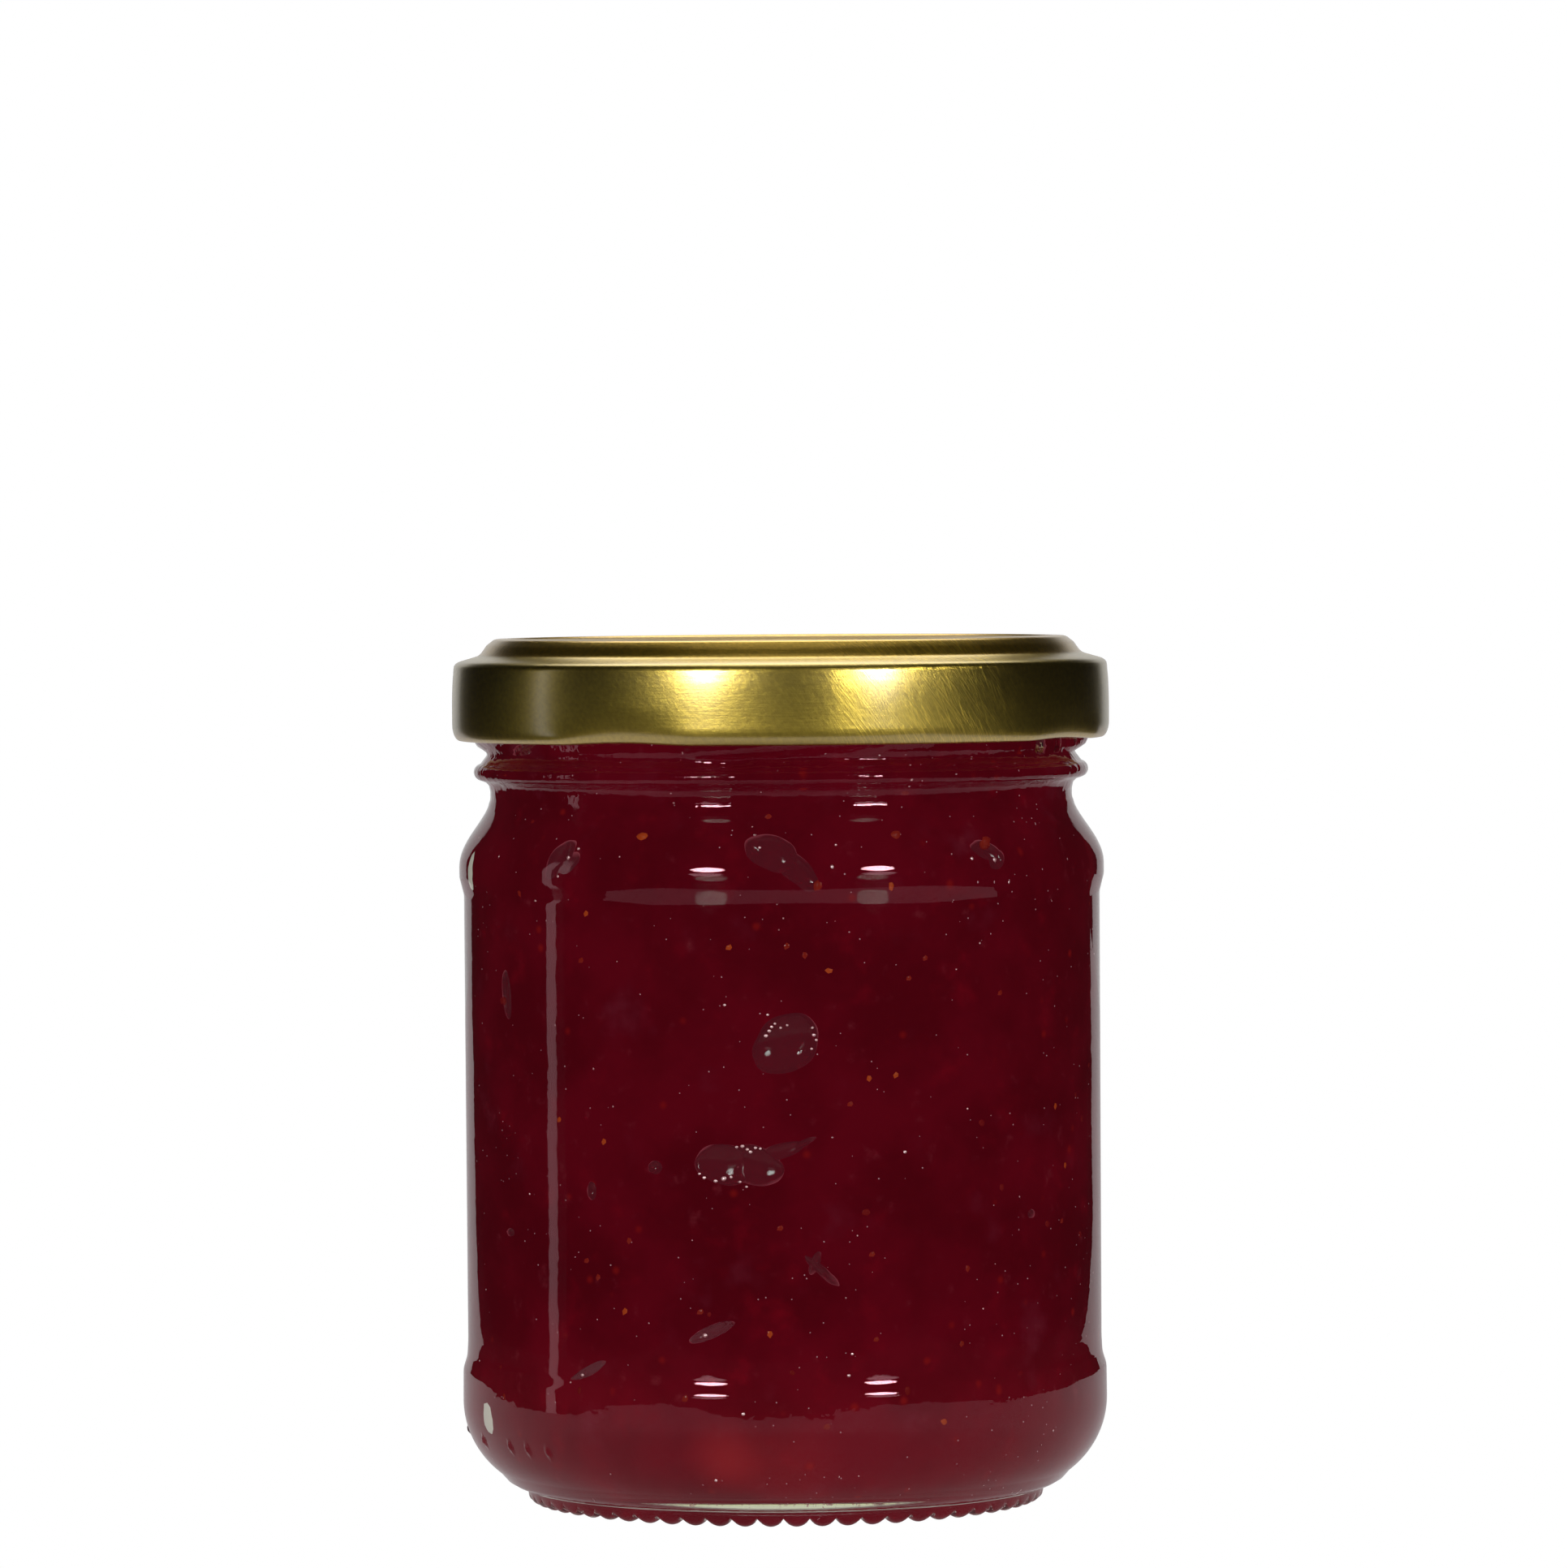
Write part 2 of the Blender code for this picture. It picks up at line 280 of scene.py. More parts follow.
def glass_relief(degrees, radius, height):
    """Adds the beads of the foot, the thread, the dots and the mould's lines to the rings."""
    outer = np.zeros_like(radius)
    outer[first_outer_ring:] = 1
    across = (((degrees - KNURL_OFFSET) * KNURL_COUNT / 360 + 0.5) % 1 - 0.5) * 2
    outward = (radius - KNURL_RADIUS) / KNURL_REACH
    dome = np.clip(1 - across ** 2, 0, 1) * np.clip(1 - outward ** 2, 0, 1)
    height = height - RING_HEIGHT * dome ** 0.6 * (height < 1.1) * outer
    proud = thread_proud(degrees, height)
    proud = proud + PARTING_PROUD * np.exp(-((height - PARTING_HEIGHT) / PARTING_WIDTH) ** 2)
    for side in (0, 180):
        away = turn_apart(degrees, SEAM_ANGLE + side)
        proud = proud + SEAM_PROUD * np.exp(-(away / SEAM_WIDTH) ** 2) * (height > 3)
    for angle in DOT_ANGLES:
        sideways = np.radians(turn_apart(degrees, angle)) * BODY_RADIUS
        dot = 1 - (sideways ** 2 + (height - DOT_HEIGHT) ** 2) / DOT_RADIUS ** 2
        proud = np.maximum(proud, DOT_PROUD * np.clip(dot, 0, 1) ** 0.7)
    return radius + proud * outer, height


glass_mesh = lathe("jar_glass", glass_outline, glass_turns, glass_relief)
glass_sizes = np.ptp(np.array([v.co for v in glass_mesh.vertices]), axis=0) / MM
print("glass measures", glass_sizes.round(2), "mm")

# %% [markdown]
# ## The camera, and finding a place behind the glass
#
# The camera is placed first, because seeds and air pockets are set where they show from the front.
# It is a long lens far away and a little above the lid. Curved glass bends the view, so a thing
# behind it isn't where it seems. `behind_glass` follows one line of sight from the camera, bends
# it at the outer wall by Snell's law and returns where it meets the jam.

# %% Camera
FRAME_SIZE = (1931, 1932)
FOCAL_PIXELS = 10314
SENSOR_WIDTH = 36
CAMERA_DISTANCE, CAMERA_HEIGHT, CAMERA_SIDE = 880, 100, 0.26
PITCH, ROLL = 1.611, 0.4

camera_data = bpy.data.cameras.new("camera")
camera_data.sensor_width = SENSOR_WIDTH
camera_data.lens = FOCAL_PIXELS * SENSOR_WIDTH / FRAME_SIZE[0]
camera_data.clip_start, camera_data.clip_end = 0.05, 20
camera = linked("camera", camera_data)
camera_place = Matrix.Translation(Vector((CAMERA_SIDE, -CAMERA_DISTANCE, CAMERA_HEIGHT)) * MM)
camera_turn = Matrix.Rotation(radians(90 - PITCH), 4, "X") @ Matrix.Rotation(radians(-ROLL), 4, "Z")
camera.matrix_world = camera_place @ camera_turn
bpy.context.scene.camera = camera
print("lens", round(camera_data.lens, 1), "mm")


# %% From the frame to the jam
GLASS_IOR = 1.5


def wall_radius(outline, height):
    """The radius of a wall at a height, read from its outline."""
    points = sorted((z, r) for r, z in outline)
    return float(np.interp(height, [z for z, _ in points], [r for _, r in points]))


inner_wall = [p for p in inside_outline(0, 12) if p[0] > 25]
outer_wall = [p for p in outside_outline() if p[0] > 30]


def meet_cylinder(start, heading, radius):
    """Where a line first meets an upright cylinder about the jar's axis, in millimetres."""
    a = heading.x ** 2 + heading.y ** 2
    b = start.x * heading.x + start.y * heading.y
    c = start.x ** 2 + start.y ** 2 - radius ** 2
    return start + heading * ((-b - sqrt(max(b * b - a * c, 0))) / a)


def behind_glass(x, y):
    """The point of the jam that is seen at x, y of the frame, in millimetres."""
    ray = Vector(((x - FRAME_SIZE[0] / 2) / FOCAL_PIXELS, (FRAME_SIZE[1] / 2 - y) / FOCAL_PIXELS, -1))
    heading = (camera.matrix_world.to_3x3() @ ray).normalized()
    eye = camera.matrix_world.translation / MM
    hit = meet_cylinder(eye, heading, PANEL_RADIUS)
    for _ in range(3):
        hit = meet_cylinder(eye, heading, wall_radius(outer_wall, hit.z))
    normal = Vector((hit.x, hit.y, 0)).normalized()
    cosine = -heading.dot(normal)
    bent = heading / GLASS_IOR + normal * (cosine / GLASS_IOR - sqrt(1 - (1 - cosine ** 2) / GLASS_IOR ** 2))
    place = hit
    for _ in range(3):
        place = meet_cylinder(hit, bent, wall_radius(inner_wall, place.z))
    return place


print("the frame's middle is", [round(v, 1) for v in behind_glass(965, 966)], "on the jam, in mm")

# %% [markdown]
# ## Shared finishes
#
# A few helpers add one node each and return its output, so a material below reads like a sum. Two
# effects come back, so each is a node group, built once. `cloudy` mixes two colours by a soft
# noise, which jam and lacquer both need. `fine_wear` gives the height of long thin streaks, for
# brush marks and scratches. The shader stays in each material.


# %% Node helpers
def fill(tree, node, *numbered, **named):
    """Feeds a node's inputs, each given by number or name, with a value or from a socket."""
    for key, source in (*numbered, *named.items()):
        socket = node.inputs[key if isinstance(key, int) else key.replace("_", " ")]
        if isinstance(source, bpy.types.NodeSocket):
            tree.links.new(source, socket)
        else:
            socket.default_value = source
    return node


def add_node(tree, kind, *numbered, **values):
    """The outputs of a new node. Names in small letters are its settings, all others its inputs."""
    node = tree.nodes.new(kind)
    for key in filter(str.islower, list(values)):
        setattr(node, key, values.pop(key))
    return fill(tree, node, *numbered, **values).outputs


def math_of(tree, operation, *values):
    """The result of a Math node."""
    return add_node(tree, "ShaderNodeMath", *enumerate(values), operation=operation)[0]


def vector_of(tree, operation, *values):
    """The result of a Vector Math node, a number for a dot product or a distance."""
    both = add_node(tree, "ShaderNodeVectorMath", *enumerate(values), operation=operation)
    return both["Value" if operation in ("DOT_PRODUCT", "DISTANCE") else "Vector"]


def ranged(tree, value, begin, end, low=0.0, high=1.0, smooth=False):
    """A value's place between begin and end, laid out from low to high."""
    return add_node(tree, "ShaderNodeMapRange", interpolation_type="SMOOTHSTEP" if smooth else "LINEAR",
                    Value=value, From_Min=begin, From_Max=end, To_Min=low, To_Max=high)[0]


def noise_of(tree, place, scale, detail=2.0, roughness=0.5):
    """Soft noise at a place."""
    return add_node(tree, "ShaderNodeTexNoise", Vector=place, Scale=scale, Detail=detail, Roughness=roughness)[0]


def mixed(tree, factor, low, high):
    """Two colours mixed by a factor."""
    return add_node(tree, "ShaderNodeMix", (6, low), (7, high), data_type="RGBA", Factor=factor)[2]


def from_group(tree, group, place, **values):
    """The output of a placed node group."""
    return add_node(tree, "ShaderNodeGroup", node_tree=group, Vector=place, **values)[0]


def object_place(tree):
    """The place on the object, in metres."""
    return add_node(tree, "ShaderNodeTexCoord")["Object"]


def z_of(tree, place):
    """The height of a place, in metres."""
    return add_node(tree, "ShaderNodeSeparateXYZ", Vector=place)["Z"]


def bumped(tree, depth, height):
    """A normal bent by a height, at a depth in metres."""
    return add_node(tree, "ShaderNodeBump", Strength=1.0, Distance=depth, Height=height)[0]


def new_material(name, **plain):
    """A material, its nodes and its Principled shader with the plain values set."""
    made = bpy.data.materials.new(name)
    made.use_nodes = True
    tree = made.node_tree
    return made, tree, fill(tree, tree.nodes["Principled BSDF"], **plain)


def show_mixed(tree, factor, first, second):
    """Puts a mix of two shaders on the surface."""
    both = add_node(tree, "ShaderNodeMixShader", (0, factor), (1, first), (2, second))
    fill(tree, tree.nodes["Material Output"], Surface=both[0])


def new_group(name, kind, inputs, output):
    """A node group with inputs (name, type and perhaps a default) and one (name, type) output."""
    group = bpy.data.node_groups.new(name, kind)
    for label, socket_type, *default in inputs:
        socket = group.interface.new_socket(label, in_out="INPUT", socket_type="NodeSocket" + socket_type)
        if default:
            socket.default_value = default[0]
    group.interface.new_socket(output[0], in_out="OUTPUT", socket_type="NodeSocket" + output[1])
    given = group.nodes.new("NodeGroupInput").outputs
    return group, given, group.nodes.new("NodeGroupOutput").inputs[0]


# %% The cloudy and fine wear groups
def cloudy_group():
    """Two colours mixed by soft noise."""
    group, given, out = new_group("cloudy", "ShaderNodeTree", [
        ("Vector", "Vector"), ("Scale", "Float", 100.0), ("Low", "Color"), ("High", "Color"),
        ("From", "Float", 0.35), ("To", "Float", 0.7)], ("Color", "Color"))
    cloud = noise_of(group, given["Vector"], given["Scale"], 4.0, 0.55)
    amount = ranged(group, cloud, given["From"], given["To"], smooth=True)
    group.links.new(mixed(group, amount, given["Low"], given["High"]), out)
    return group


def fine_wear_group():
    """The height of long thin streaks that run along the vector's first axis."""
    group, given, out = new_group("fine_wear", "ShaderNodeTree", [
        ("Vector", "Vector"), ("Length", "Float", 6.0), ("Width", "Float", 0.12),
        ("Cover", "Float", 0.5)], ("Height", "Float"))
    along = math_of(group, "DIVIDE", 1.0, given["Length"])
    across = math_of(group, "DIVIDE", 1.0, given["Width"])
    stretch = add_node(group, "ShaderNodeCombineXYZ", X=along, Y=across, Z=1.0)[0]
    streaks = noise_of(group, vector_of(group, "MULTIPLY", given["Vector"], stretch), 1.0, 2.0, 0.6)
    group.links.new(ranged(group, streaks, given["Cover"], 0.8), out)
    return group


CLOUDY, FINE_WEAR = cloudy_group(), fine_wear_group()
print("groups:", CLOUDY.name, FINE_WEAR.name)

# %% [markdown]
# ## The glass
#
# Clear flint glass needs only full transmission, its index of refraction and no roughness. Moulded
# glass is never quite true, so a very low bump of broad noise makes the reflections waver. It is
# deeper on the neck, which the mould presses, than on the body. The lamps' light doesn't pass well
# through a refracting shell in a short render, so the shell casts no shadow and the jam is lit
# directly.

# %% Glass material and piece
GLASS_TINT, GLASS_SHINE = (0.965, 0.98, 0.96, 1), (1.0, 0.5, 0.6, 1)
NECK_ZONE = (0.0725, 0.0755)  # metres up the jar, where the body's finish turns into the neck's
WAVER_DEPTH, FINE_SHARE = (0.00005, 0.00034), (0.1, 0.34)  # on the body, on the neck


def glass_material():
    made, tree, shader = new_material(
        "clear_flint_glass", Base_Color=GLASS_TINT, Roughness=0.0, IOR=GLASS_IOR,
        Transmission_Weight=1.0, Specular_Tint=GLASS_SHINE)
    place = object_place(tree)
    up = z_of(tree, place)
    waver = noise_of(tree, place, 130.0, 4.0, 0.42)
    share = ranged(tree, up, *NECK_ZONE, *FINE_SHARE)
    height = math_of(tree, "MULTIPLY_ADD", noise_of(tree, place, 650.0), share, waver)
    fill(tree, shader, Normal=bumped(tree, ranged(tree, up, *NECK_ZONE, *WAVER_DEPTH), height))
    return made


glass = add_piece("jar_glass", glass_mesh, glass_material())
glass.visible_shadow = False
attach(glass, "root")
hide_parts("glass_jar")

# %% [markdown]
# ## The jam
#
# Light enters a dark jam, scatters and comes back from all over, so it hardly shades towards its
# sides: it is one deep red with soft redder clouds. Full scattering would be slow and noisy behind
# glass. A weak diffuse red plus a painted red glow, emission that stands in for the scattered light,
# gives the same even look. The painted glow is stronger and browner near the floor, where light
# comes in through the base, and brightest in two painted spots at the heel where the lamps shine
# in. Jam bends light a little less than glass does, so it has no shine head on and mirrors only at
# the steepest glances. Seeds too deep to see clearly are soft warm spots in the same painted glow.

# %% Jam materials
JAM_TINT, JAM_MIRROR = (0.012, 0.0003, 0.0008, 1), (1.0, 1.0, 0.93, 1)
# Colours of the painted glow: emission that stands in for light scattered in the jam.
JAM_DARK, DEEP_SEED, JAM_PAINTED_LIT = (0.046, 0.0006, 0.0031, 1), (0.125, 0.004, 0.0035, 1), (0.078, 0.0044, 0.0044, 1)
JAM_CLOUDS = (
    # scale, colour, the noise at which it begins and at which it is full
    (90.0, (0.068, 0.001, 0.0046, 1), 0.35, 0.65), (210.0, (0.12, 0.0015, 0.006, 1), 0.56, 0.95),
    (140.0, (0.078, 0.0075, 0.015, 1), 0.58, 0.9), (520.0, (0.11, 0.013, 0.019, 1), 0.6, 0.95),
)
DEEP_SEED_SHARE = 0.12
# Painted light: the glow is raised near the floor and in spots at the heel where the lamps shine in.
PAINTED_FLOOR_LIGHT_ZONE, PAINTED_FLOOR_LIGHT = (0.006, 0.026), 1.5
PAINTED_HEEL_LIGHTS = ((895, 1792, 5.5, 0.8), (975, 1800, 7.0, 0.35))  # x, y in the frame, radius in mm, gain
# The painted glow of a pocket's skin, and the brighter painted rim highlight at its edge.
POCKET_PAINTED_GLOW, POCKET_PAINTED_RIM = (0.056, 0.005, 0.009, 1), (0.17, 0.03, 0.042, 1)
JAM_IOR = 1.4


def painted_jam_glow(tree, place):
    """The painted glow that stands in for the light that comes back out of the jam."""
    body = JAM_DARK
    for scale, colour, begin, full in JAM_CLOUDS:
        body = from_group(tree, CLOUDY, place, Scale=scale, Low=body, High=colour, From=begin, To=full)
    seeds = add_node(tree, "ShaderNodeTexVoronoi", Vector=place, Scale=420.0)
    spot = ranged(tree, seeds["Distance"], 0.04, 0.26, 0.75, 0.0, smooth=True)
    chance = add_node(tree, "ShaderNodeSeparateColor", Color=seeds["Color"])[0]
    shown = math_of(tree, "MULTIPLY", spot, math_of(tree, "GREATER_THAN", chance, 1 - DEEP_SEED_SHARE))
    return mixed(tree, shown, body, DEEP_SEED)


def painted_glow_strength(tree, place):
    """How strong the painted glow is: brighter near the floor of the jar, most of all in painted spots where the lamps
    shine in at the heel.
    """
    total = ranged(tree, z_of(tree, place), *PAINTED_FLOOR_LIGHT_ZONE, PAINTED_FLOOR_LIGHT, 1.0, smooth=True)
    for x, y, radius, gain in PAINTED_HEEL_LIGHTS:
        away = vector_of(tree, "DISTANCE", place, behind_glass(x, y) * MM)
        total = math_of(tree, "ADD", total, ranged(tree, away, 0.0, radius * MM, gain, 0.0, smooth=True))
    return total


def jam_material():
    made, tree, shader = new_material("dark_red_jam", Base_Color=JAM_TINT, Roughness=0.5, Specular_IOR_Level=0.0)
    place = object_place(tree)
    # Emission paints the light scattered in the jam; the diffuse red under it is weak.
    strength = painted_glow_strength(tree, place)
    # Painted lit colour: where the painted glow is strong, its colour turns browner.
    lit = ranged(tree, strength, 1.1, 2.6, 0.0, 0.85)
    glow = mixed(tree, lit, painted_jam_glow(tree, place), JAM_PAINTED_LIT)
    fill(tree, shader, Emission_Color=glow, Emission_Strength=strength)
    steep = add_node(tree, "ShaderNodeFresnel", IOR=JAM_IOR / GLASS_IOR)
    mirror = add_node(tree, "ShaderNodeBsdfGlossy", Color=JAM_MIRROR, Roughness=0.0)
    show_mixed(tree, steep[0], shader.outputs[0], mirror[0])
    return made


def wet_material():
    """The skin of an air pocket: wet and shiny, with the jam's painted red glow, redder and brighter at a painted rim
    highlight along the pocket's edge.
    """
    made, tree, shader = new_material(
        "wet_jam_hollow", Base_Color=JAM_TINT, Roughness=0.03, IOR=1.22, Emission_Strength=1.0)
    depth = add_node(tree, "ShaderNodeAttribute", attribute_name="pocket_depth")["Fac"]
    reach = ranged(tree, noise_of(tree, object_place(tree), 400.0), 0.35, 0.65, 0.06, 0.55)
    # Painted highlight: the skin glows brighter where the pocket is shallow, at its edge.
    edge = ranged(tree, depth, 0.03, reach, 1.0, 0.0)
    fill(tree, shader, Emission_Color=mixed(tree, edge, POCKET_PAINTED_GLOW, POCKET_PAINTED_RIM))
    return made


jam_matte, jam_wet = jam_material(), wet_material()
print("jam materials:", jam_matte.name, jam_wet.name)

# %% [markdown]
# The jam's body is turned from the glass's inner outline, and reaches a little into the wall so
# that no gap shows between them.

# %% Jam body
JAM_OVERLAP = 0.12
JAM_COLUMNS = 240
jam_height = jam_top.z / MM
jam_outline = [(0, jam_height), (BORE_RADIUS + JAM_OVERLAP, jam_height)] + inside_outline(JAM_OVERLAP, 8)[::-1]
jam_body = add_piece("jam_body", lathe("jam_body", jam_outline, even_turns(JAM_COLUMNS)), jam_matte, jam_wet)

# %% [markdown]
# The air pockets are flattened balls, pressed into the jam where they show. Each is given by
# its place in the frame, its half-width and half-height in millimetres, its tilt and how deep it
# goes. A little noise keeps their edges from being perfect ovals.

# %% Air pockets
POCKETS = (
    # x, y, half width, half height, tilt, depth
    (950, 1055, 2.9, 1.9, -28, 1.3), (980, 1073, 2.9, 1.2, -36, 1.1),
    (968, 1286, 3.5, 2.8, 34, 1.8),
    (893, 1434, 3.1, 2.1, -4, 0.9), (930, 1436, 3.0, 2.0, -22, 0.8),
    (962, 1418, 2.4, 0.8, 16, 0.5), (986, 1410, 1.8, 0.36, 24, 0.4),
    (877, 1641, 2.6, 0.7, 24, 0.5), (725, 1690, 2.6, 0.55, 28, 0.45),
    (690, 1062, 1.2, 2.9, -38, 0.9), (701, 1068, 0.8, 1.6, -60, 0.5), (1013, 1566, 2.3, 0.5, -42, 0.5),
    (1215, 1055, 1.9, 1.0, -20, 0.7), (1228, 1064, 1.2, 0.8, 30, 0.5), (1004, 1556, 0.5, 1.3, -20, 0.4),
    (808, 1438, 0.8, 0.7, 0, 0.5), (730, 1467, 0.6, 1.0, 0, 0.5),
    (625, 1225, 0.9, 2.6, 8, 0.45), (630, 1518, 0.8, 0.45, 0, 0.4), (1270, 1495, 0.6, 0.5, 0, 0.4),
    (1283, 918, 1.0, 1.5, 20, 0.5), (1304, 914, 0.9, 1.2, -30, 0.5), (1322, 917, 0.7, 0.9, 0, 0.4),
    (650, 916, 3.2, 0.6, 12, 0.35),
)


def lying(place, tilt):
    """The outward direction at a place on the wall, and the turn that lays a thing flat there."""
    out = Vector((place.x, place.y, 0)).normalized()
    basis = Matrix((Vector((-out.y, out.x, 0)), Vector((0, 0, 1)), out)).transposed().to_4x4()
    return out, basis @ Matrix.Rotation(radians(tilt), 4, "Z")


def smooth_mesh(name, build):
    """Ends a bmesh as a mesh with smooth shading."""
    mesh = bpy.data.meshes.new(name)
    build.to_mesh(mesh)
    build.free()
    mesh.shade_smooth()
    return mesh


def as_built(piece):
    """A plain mesh of an object with its modifiers applied."""
    return bpy.data.meshes.new_from_object(piece.evaluated_get(bpy.context.evaluated_depsgraph_get()))


def air_pockets():
    """The flattened, slightly uneven balls, as one object."""
    build = bmesh.new()
    for x, y, half_width, half_height, tilt, depth in POCKETS:
        place = behind_glass(x, y)
        shape = Matrix.Diagonal((half_width, half_height, depth, 1))
        pose = Matrix.Translation(place) @ lying(place, tilt)[1] @ shape
        ball = bmesh.ops.create_icosphere(build, subdivisions=4, radius=1)
        for vert in ball["verts"]:
            uneven = 1 + 0.12 * noise.noise(vert.co * 1.3 + place)
            vert.co = pose @ (vert.co * uneven) * MM
    return add_piece("air_pockets", smooth_mesh("air_pockets", build), jam_wet)


def hollowed(body, tool):
    """The body's mesh with the tool cut out of it."""
    cut = body.modifiers.new("hollow", "BOOLEAN")
    cut.operation, cut.solver, cut.object = "DIFFERENCE", "EXACT", tool
    cut.use_self = True
    cut.material_mode = "TRANSFER"
    mesh = as_built(body)
    bpy.data.objects.remove(body)
    bpy.data.objects.remove(tool)
    return mesh


def store_pocket_depth(mesh):
    """Writes how far each point lies behind the jam's outer wall, in millimetres."""
    layer = mesh.attributes.new("pocket_depth", "FLOAT", "POINT")
    for vert, value in zip(mesh.vertices, layer.data):
        x, y, z = vert.co / MM
        value.value = max(0.0, wall_radius(inner_wall, z) + JAM_OVERLAP - hypot(x, y))


jam_mesh = hollowed(jam_body, air_pockets())
jam_mesh.name = "jam_fill"
store_pocket_depth(jam_mesh)
jam_mesh.set_sharp_from_angle(angle=radians(40))
jam = add_piece("jam_fill", jam_mesh)
print(len(POCKETS), "pockets,", [m.name for m in jam_mesh.materials])
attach(jam, "root")
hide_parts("jam")

# %% [markdown]
# ## Seeds, bubbles and froth
#
# A seeded jam is full of hard seeds about a millimetre long and of tiny gas bubbles that catch the
# lamps as bright points. Finer froth clings to the glass in drifts, its specks painted as pale pink
# glints that glow. The seeds too are shown by a painted glow, as the jam is, and two pale bubbles at
# the jar's left edge carry a painted reflection. The few grains that stand out are placed where they
# show. The rest repeat by the thousand, so a Geometry Nodes group scatters one grain over the jam's
# skin with a random size and turn, more densely where a broad noise is high. A fixed seed number
# keeps every run the same.

# %% One grain
GRAIN_LENGTH, GRAIN_WIDTH, GRAIN_THICKNESS = 1.1, 0.9, 0.5
JAM_EDGE = (0.06, 0.001, 0.004, 1)


def grain_mesh(name, length, width, thickness):
    """A seed: a flattened ball drawn to a blunt point at one end, lying in its own XY plane."""
    build = bmesh.new()
    bmesh.ops.create_icosphere(build, subdivisions=2, radius=0.5)
    for vert in build.verts:
        taper = (1 - 0.45 * max(0, vert.co.x * 2) ** 2) * (1 + 0.25 * noise.noise(vert.co * 5))
        vert.co = Vector((vert.co.x * length, vert.co.y * width * taper, vert.co.z * thickness * taper)) * MM
    return smooth_mesh(name, build)


def grain_material(name, core, edge=JAM_EDGE, shine=0.1):
    """A grain just under the skin, shown by a painted glow as the jam is: its own colour in the middle, fading to
    another at its edge.
    """
    made, tree, shader = new_material(
        name, Base_Color=(0.01, 0.002, 0.001, 1), Roughness=0.15, Specular_IOR_Level=shine, Emission_Strength=1.0)
    facing = add_node(tree, "ShaderNodeLayerWeight", Blend=0.55)["Facing"]
    fill(tree, shader, Emission_Color=mixed(tree, facing, core, edge))
    return made


# Painted glow: the seeds' own colours are emitted, as the jam's glow is, not lit by the lamps.
seed_tan = grain_material("seed_tan", (0.25, 0.032, 0.005, 1))
seed_red = grain_material("seed_red", (0.135, 0.007, 0.004, 1))
seed_dim = grain_material("seed_dim", (0.098, 0.003, 0.004, 1), shine=0.05)
# Painted glints: the froth's specks glow pale pink.
froth = grain_material("froth", (0.34, 0.19, 0.21, 1), (0.2, 0.07, 0.09, 1), 0.0)
# Painted reflection: bubbles against the wall glow pale grey-white.
painted_reflection_bubble = grain_material("painted_reflection_bubble", (0.42, 0.4, 0.34, 1), (0.36, 0.34, 0.3, 1), 0.0)
# Light can't pass into a gas bubble against the glass, so it mirrors the lamps. Its faint red glow is painted, as the
# jam's is.
gas_bubble = new_material(
    "gas_bubble", Base_Color=(1.0, 0.8, 0.82, 1), Metallic=1.0, Roughness=0.3,
    Emission_Color=(0.06, 0.012, 0.015, 1), Emission_Strength=1.0)[0]
print("grains:", [m.name for m in (seed_tan, seed_red, seed_dim, gas_bubble, froth, painted_reflection_bubble)])

# %% Grains that stand out
TAN_SEEDS = (
    # x, y, length in millimetres, and tilt in degrees where there is one
    (790, 1042, 1.5, 10), (899, 1167, 1.3), (1022, 1196, 1.4, -40), (1071, 1328, 1.1, 60),
    (1104, 1324, 1.2, 30), (1300, 1362, 1.3, 50), (745, 1406, 1.2, 40), (771, 1615, 1.6, 30),
    (949, 1643, 1.5, 60), (690, 1379, 1.1, 20), (723, 1125, 1.2, 30), (1098, 1090, 1.2, 70),
    (1312, 1435, 1.1, 60), (1163, 1750, 1.3, -30),
)
RED_SEEDS = (
    (947, 1012, 1.5, 20), (1105, 1040, 1.4, 60), (1218, 1047, 1.3, 30), (1308, 1504, 1.1), (962, 1513, 1.2),
    (776, 1528, 1.2, 50), (724, 1553, 1.2), (738, 1573, 1.3, 40), (1020, 1756, 1.2), (970, 1165, 1.4, 30),
    (992, 1176, 1.3, 60), (717, 1183, 1.3), (1232, 1223, 1.2), (640, 1096, 1.5, 80), (1048, 1360, 1.1),
    (864, 1616, 1.5), (1075, 1545, 1.2), (1185, 1655, 1.1, 40), (622, 1720, 1.3, 70), (1140, 1180, 1.0, 20),
    (1192, 1562, 1.3, 60), (1120, 1205, 1.0), (1010, 1090, 1.1, 40), (1080, 1650, 1.0), (845, 1724, 1.1),
)
BUBBLES = (
    (944, 1276, 0.45), (948, 1270, 0.4), (951, 1265, 0.35), (955, 1261, 0.3), (962, 1266, 0.3),
    (970, 1263, 0.28), (1001, 1266, 0.32), (1003, 1275, 0.42), (1006, 1281, 0.34), (1000, 1292, 0.3),
    (908, 1413, 0.35), (915, 1412, 0.42), (921, 1416, 0.36), (925, 1419, 0.4), (931, 1414, 0.34),
    (937, 1415, 0.3), (862, 1446, 0.34), (868, 1451, 0.45), (882, 1455, 0.42), (892, 1452, 0.6, 20),
    (901, 1450, 0.36), (912, 1456, 0.3), (920, 1462, 0.3), (936, 1051, 0.3), (930, 1036, 0.3),
    (1025, 1071, 0.4, 90), (1030, 1048, 0.3), (893, 1238, 0.35), (946, 1250, 0.34), (700, 1063, 0.4),
    (712, 1054, 0.4), (688, 1080, 0.35), (660, 1107, 0.4), (869, 1645, 0.5), (916, 1742, 0.45),
    (882, 1812, 0.45, 90), (718, 1695, 0.45), (1046, 1695, 0.4), (1050, 1668, 0.35), (1226, 1064, 0.45),
    (1198, 1063, 0.4), (1115, 1419, 0.45),
)
